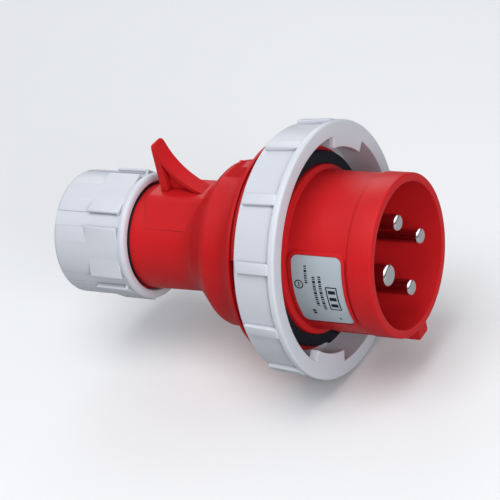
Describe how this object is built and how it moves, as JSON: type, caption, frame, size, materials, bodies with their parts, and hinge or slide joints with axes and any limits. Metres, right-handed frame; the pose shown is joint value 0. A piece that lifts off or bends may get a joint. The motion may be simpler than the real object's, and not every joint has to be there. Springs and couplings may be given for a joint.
{
  "type": "industrial pin and sleeve plug",
  "caption": "Watertight industrial plug with a keyed collar round four round pins, a bayonet locking ring, a finger hook and a screwed cable gland.",
  "frame": {"origin": "centre of the collar's front rim, on the plug's axis", "axes": "+X along the plug's axis, out of the open front; +Z from the axis to the finger hook; the key is on -Z and the earth pin and the label are on -Y"},
  "size_m": [0.1362, 0.0928, 0.0928],
  "materials": {
    "red_plastic": "moulded, satin to glossy, bright red",
    "grey_plastic": "moulded, fine-grained light grey",
    "black_rubber": "matte black",
    "insulator": "moulded, dark grey, matte",
    "contact_metal": "nickel-plated, polished",
    "screw_steel": "zinc-plated",
    "label_foil": "satin silver foil",
    "white_nylon": "natural nylon, satin"
  },
  "bodies": {
    "plug_body": {"shroud": "red_plastic", "rating_label": "label_foil", "face_gasket": "black_rubber", "contact_carrier": "insulator", "carrier_screws": "screw_steel", "pin_retainer": "insulator", "retainer_screw": "screw_steel", "housing_o_ring": "black_rubber", "rear_housing": "red_plastic", "gland_o_ring": "black_rubber", "gland_cage": "grey_plastic", "gland_seal": "black_rubber", "pin_l1": "contact_metal", "terminal_screw_l1": "screw_steel", "pin_earth": "contact_metal", "terminal_screw_earth": "screw_steel", "pin_l2": "contact_metal", "terminal_screw_l2": "screw_steel", "pin_l3": "contact_metal", "terminal_screw_l3": "screw_steel"},
    "lock_ring": {"lock_ring": "grey_plastic"},
    "gland_slide": {"gland_washer": "white_nylon"},
    "gland_nut": {"gland_nut": "grey_plastic"}
  },
  "joints": [
    {"name": "ring_turn", "type": "hinge", "parent": "plug_body", "child": "lock_ring", "pos_m": [0, 0, 0], "axis": [1, 0, 0], "range_deg": [0, 50]},
    {"name": "nut_travel", "type": "slide", "parent": "plug_body", "child": "gland_slide", "axis": [-1, 0, 0], "range_m": [0, 0.006]},
    {"name": "nut_turn", "type": "hinge", "parent": "gland_slide", "child": "gland_nut", "pos_m": [0, 0, 0], "axis": [-1, 0, 0], "range_deg": [0, 720]}
  ],
  "couplings": [
    {"joint": "nut_travel", "follows": "nut_turn", "m_per_rad": 0.00047746}
  ]
}
